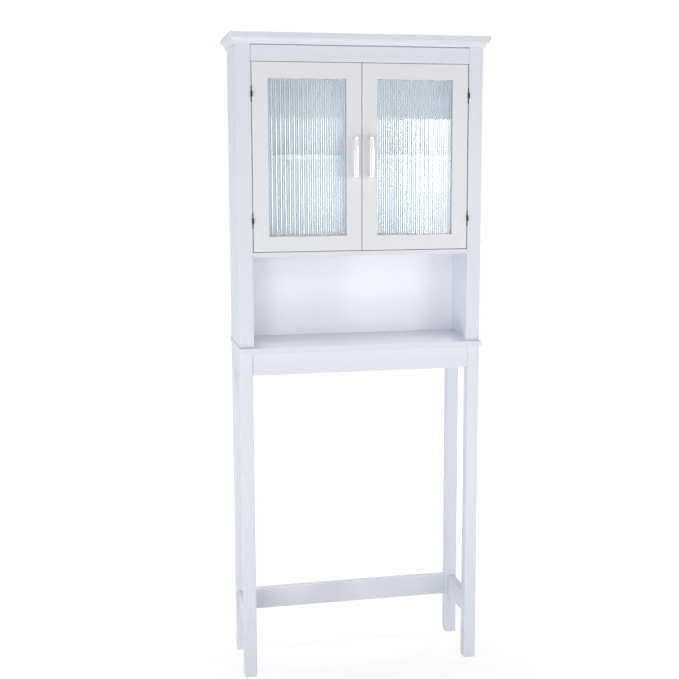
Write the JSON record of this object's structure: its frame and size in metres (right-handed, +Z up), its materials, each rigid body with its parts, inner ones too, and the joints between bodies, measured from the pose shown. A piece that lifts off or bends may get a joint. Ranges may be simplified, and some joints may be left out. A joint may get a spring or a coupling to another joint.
{
  "type": "over-the-toilet storage rack",
  "caption": "Tall white rack that stands astride a toilet: open leg frame, open shelf, and a hinged cupboard with vertical fluted glass doors and bar pulls under a moulded crown.",
  "frame": {"origin": "on the floor, under the middle of the outline (crown width by crown depth plus the handles in front)", "axes": "+Z up, +Y towards the wall, +X to the right of someone who faces the doors"},
  "size_m": [0.68, 0.248, 1.7],
  "materials": {
    "white_paint": "satin white lacquer on MDF and solid wood",
    "white_hardboard": "white faced hardboard",
    "fluted_glass": "vertically fluted, faint blue",
    "polished_chrome": "polished",
    "nickel_plate": "satin nickel plate",
    "zinc_steel": "zinc plate",
    "white_plastic": "moulded"
  },
  "bodies": {
    "cabinet": {"apron_front": "white_paint", "apron_left": "white_paint", "apron_rear": "white_paint", "apron_right": "white_paint", "back_panel": "white_hardboard", "crown_moulding_front": "white_paint", "crown_moulding_left": "white_paint", "crown_moulding_right": "white_paint", "crown_slab": "white_paint", "divider_shelf": "white_paint", "foot_front_left": "white_plastic", "foot_front_right": "white_plastic", "foot_rear_left": "white_plastic", "foot_rear_right": "white_plastic", "hinge_lower_left_post_leaf": "nickel_plate", "hinge_lower_right_post_leaf": "nickel_plate", "hinge_upper_left_post_leaf": "nickel_plate", "hinge_upper_right_post_leaf": "nickel_plate", "inner_shelf": "white_paint", "ledge_board": "white_paint", "leg_front_left": "white_paint", "leg_front_right": "white_paint", "leg_rear_left": "white_paint", "leg_rear_right": "white_paint", "magnet_catch": "white_plastic", "post_left": "white_paint", "post_right": "white_paint", "shelf_pin_front_left": "zinc_steel", "shelf_pin_front_right": "zinc_steel", "shelf_pin_rear_left": "zinc_steel", "shelf_pin_rear_right": "zinc_steel", "side_panel_left": "white_paint", "side_panel_right": "white_paint", "stretcher_left": "white_paint", "stretcher_rear": "white_paint", "stretcher_right": "white_paint", "top_panel": "white_paint", "top_rail": "white_paint"},
    "door_left": {"door_left_bottom_rail": "white_paint", "door_left_glass": "fluted_glass", "door_left_glass_bead": "white_paint", "door_left_handle": "polished_chrome", "door_left_hinge_stile": "white_paint", "door_left_meeting_stile": "white_paint", "door_left_strike_plate": "zinc_steel", "door_left_top_rail": "white_paint", "hinge_lower_left_door_leaf": "nickel_plate", "hinge_upper_left_door_leaf": "nickel_plate"},
    "door_right": {"door_right_bottom_rail": "white_paint", "door_right_glass": "fluted_glass", "door_right_glass_bead": "white_paint", "door_right_handle": "polished_chrome", "door_right_hinge_stile": "white_paint", "door_right_meeting_stile": "white_paint", "door_right_strike_plate": "zinc_steel", "door_right_top_rail": "white_paint", "hinge_lower_right_door_leaf": "nickel_plate", "hinge_upper_right_door_leaf": "nickel_plate"}
  },
  "joints": [
    {"name": "door_left_swing", "type": "hinge", "parent": "cabinet", "child": "door_left", "pos_m": [-0.28575, -0.09995, 1.3887], "axis": [0, 0, -1], "range_deg": [0, 165]},
    {"name": "door_right_swing", "type": "hinge", "parent": "cabinet", "child": "door_right", "pos_m": [0.28575, -0.09995, 1.3887], "axis": [0, 0, 1], "range_deg": [0, 165]}
  ]
}
